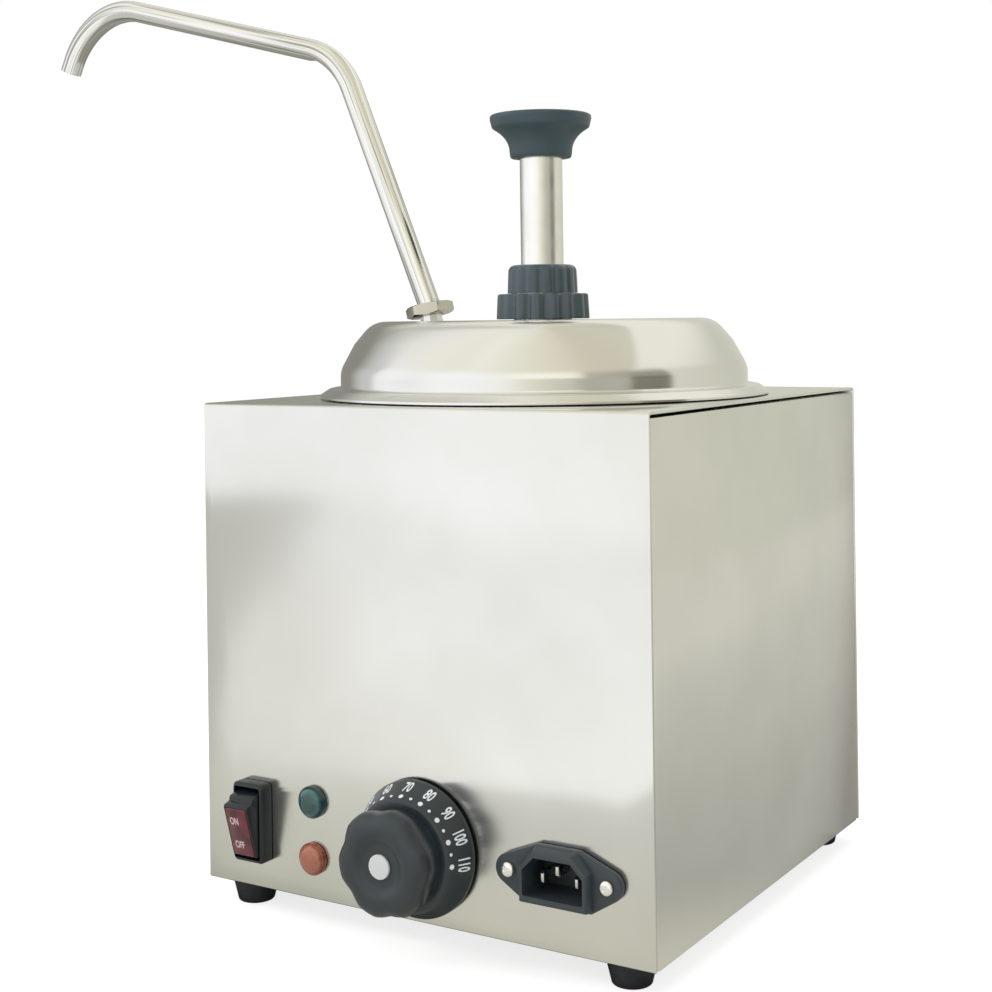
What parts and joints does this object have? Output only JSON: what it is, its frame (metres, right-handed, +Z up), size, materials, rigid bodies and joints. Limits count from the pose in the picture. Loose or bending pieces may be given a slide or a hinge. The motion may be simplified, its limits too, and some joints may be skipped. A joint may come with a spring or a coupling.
{
  "type": "hot fudge topping warmer",
  "caption": "Square steel countertop warmer with a heated well, lift-out sauce pot, domed lid, hand pump, long bent spout, thermostat dial, rocker switch, lamps and mains inlet.",
  "frame": {"origin": "centre of the base tray's underside, level with the housing's lower edge; the feet reach below it", "axes": "+Z up along the pump's axis, +X to the right along the front panel seen from the front, +Y towards the back"},
  "size_m": [0.3865, 0.2287, 0.3969],
  "materials": {
    "brushed_steel": "fine brushed stainless steel",
    "polished_steel": "polished stainless steel",
    "plated_steel": "bright nickel plate",
    "slate_plastic": "satin moulded",
    "black_plastic": "satin moulded",
    "black_rubber": "matt",
    "dark_silicone": "matt",
    "red_lens": "clear red",
    "green_lens": "clear green",
    "orange_lens": "clear orange",
    "grey_disc": "satin",
    "white_ceramic": "unglazed ceramic",
    "white_plastic": "satin moulded",
    "copper": "bare copper"
  },
  "bodies": {
    "housing": {"wrap_shell": "brushed_steel", "side_panel_left": "brushed_steel", "side_panel_right": "brushed_steel", "base_tray": "brushed_steel", "foot_front_left": "black_rubber", "foot_front_right": "black_rubber", "foot_rear_left": "black_rubber", "foot_rear_right": "black_rubber", "foot_screw_front_left": "plated_steel", "foot_screw_front_right": "plated_steel", "foot_screw_rear_left": "plated_steel", "foot_screw_rear_right": "plated_steel", "heating_well": "brushed_steel", "heating_element": "plated_steel", "element_clamp": "plated_steel", "clamp_nut": "plated_steel", "thermal_cutout": "black_plastic", "terminal_block": "white_ceramic", "thermostat_body": "white_plastic", "thermostat_bulb": "copper", "thermostat_screw_left": "plated_steel", "thermostat_screw_right": "plated_steel", "dial_bezel": "black_plastic", "lamp_green_lens": "green_lens", "lamp_green_body": "white_plastic", "lamp_orange_lens": "orange_lens", "lamp_orange_body": "white_plastic", "switch_housing": "black_plastic", "inlet_body": "black_plastic", "inlet_pin_live": "plated_steel", "inlet_pin_earth": "plated_steel", "inlet_pin_neutral": "plated_steel", "inlet_screw_left": "plated_steel", "inlet_screw_right": "plated_steel", "inlet_nut_left": "plated_steel", "inlet_nut_right": "plated_steel"},
    "pot": {"sauce_pot": "polished_steel"},
    "seal": {"lid_seal": "dark_silicone"},
    "lid": {"lid": "polished_steel", "pump_cylinder": "brushed_steel", "pump_lock_nut": "slate_plastic", "pump_cap": "slate_plastic", "valve_body": "brushed_steel", "ball_stop_pin": "plated_steel", "discharge_tube": "polished_steel", "spout_nut": "plated_steel", "spout_tube": "polished_steel", "return_spring": "plated_steel"},
    "plunger": {"plunger_tube": "polished_steel", "push_knob": "slate_plastic", "piston": "white_plastic", "piston_seal": "dark_silicone"},
    "intake_ball": {"intake_ball": "plated_steel"},
    "rocker": {"rocker": "black_plastic", "rocker_lens": "red_lens"},
    "dial": {"dial_knob": "black_plastic", "dial_cap": "grey_disc", "thermostat_shaft": "plated_steel"}
  },
  "joints": [
    {"name": "pot_lift", "type": "slide", "parent": "housing", "child": "pot", "axis": [0, 0, 1], "range_m": [0, 0.14]},
    {"name": "lid_lift", "type": "slide", "parent": "pot", "child": "seal", "axis": [0, 0, 1], "range_m": [0, 0.14]},
    {"name": "lid_turn", "type": "hinge", "parent": "seal", "child": "lid", "pos_m": [0, 0, 0.1955], "axis": [0, 0, 1], "continuous": true},
    {"name": "plunger_press", "type": "slide", "parent": "lid", "child": "plunger", "axis": [0, 0, 1], "range_m": [-0.04, 0], "stiffness_N_per_m": 300, "springref_m": 0.02, "deforming": ["return_spring"]},
    {"name": "intake_ball_lift", "type": "slide", "parent": "lid", "child": "intake_ball", "axis": [0, 0, 1], "range_m": [0, 0.003]},
    {"name": "switch_rock", "type": "hinge", "parent": "housing", "child": "rocker", "pos_m": [-0.0758, -0.1028, 0.0269], "axis": [1, 0, 0], "range_deg": [-32, 0]},
    {"name": "dial_turn", "type": "hinge", "parent": "housing", "child": "dial", "pos_m": [0.003, -0.101, 0.0281], "axis": [0, -1, 0], "range_deg": [-152, 103]}
  ]
}
